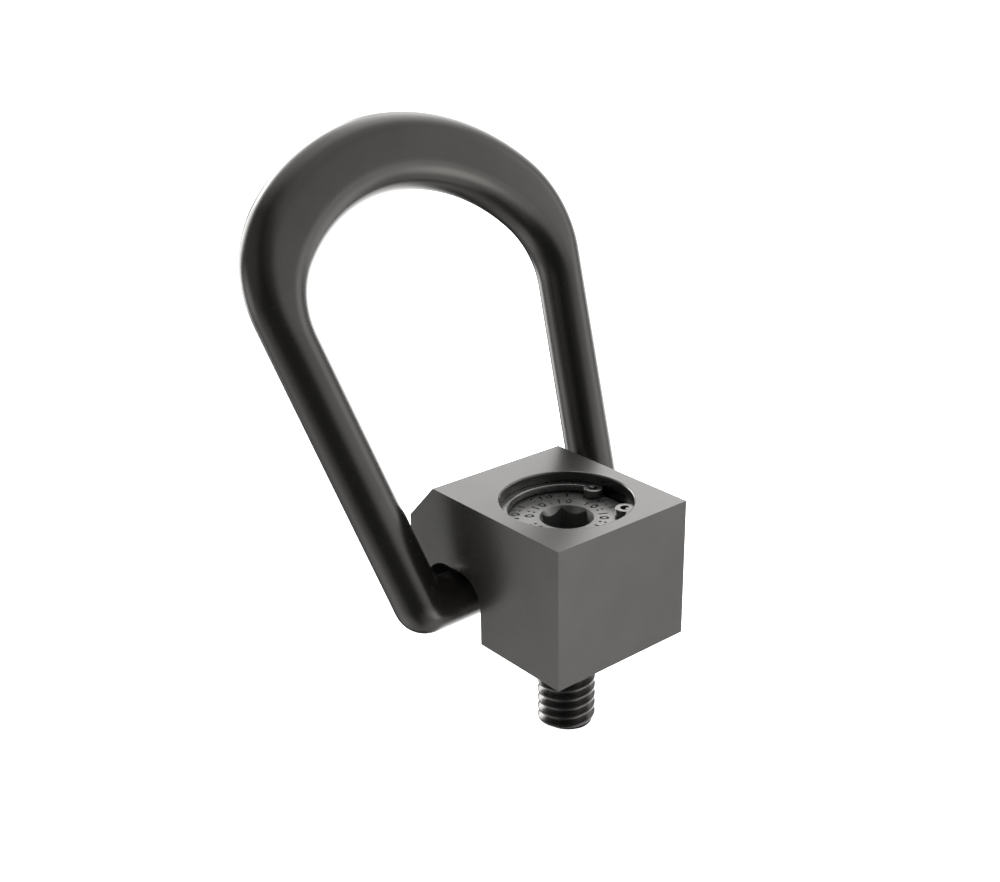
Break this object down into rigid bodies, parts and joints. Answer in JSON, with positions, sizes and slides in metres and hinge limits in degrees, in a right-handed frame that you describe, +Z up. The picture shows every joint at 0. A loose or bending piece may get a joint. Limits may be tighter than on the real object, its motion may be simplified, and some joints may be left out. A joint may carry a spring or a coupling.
{
  "type": "swivel hoist ring",
  "caption": "Side-pull swivel hoist ring: teardrop lifting loop pivoting across a block body that swivels on a bushing under a hex socket screw.",
  "frame": {"origin": "screw axis on the load's mounting surface, the lower face of the bushing", "axes": "+Z up along the screw, out of the load; +X forward, away from the side that the loop leans to; Y along the loop's pivot"},
  "size_m": [0.0518, 0.0546, 0.0782],
  "materials": {
    "body_steel": "milled alloy steel with a satin black oxide",
    "loop_steel": "forged alloy steel, blasted and black oxidised",
    "bushing_steel": "turned and ground alloy steel, black oxide",
    "screw_steel": "turned alloy steel, black oxide",
    "spring_steel": "stamped spring steel, phosphated"
  },
  "bodies": {
    "fixing": {"bushing": "bushing_steel", "flange_screw": "screw_steel"},
    "swivel": {"swivel_body": "body_steel", "retaining_ring": "spring_steel"},
    "loop": {"lifting_loop": "loop_steel"}
  },
  "joints": [
    {"name": "swivel_turn", "type": "hinge", "parent": "fixing", "child": "swivel", "pos_m": [0, 0, 0], "axis": [0, 0, 1], "continuous": true},
    {"name": "loop_pivot", "type": "hinge", "parent": "swivel", "child": "loop", "pos_m": [-0.01022, 0, 0.00508], "axis": [0, 1, 0], "range_deg": [-64, 116]}
  ]
}
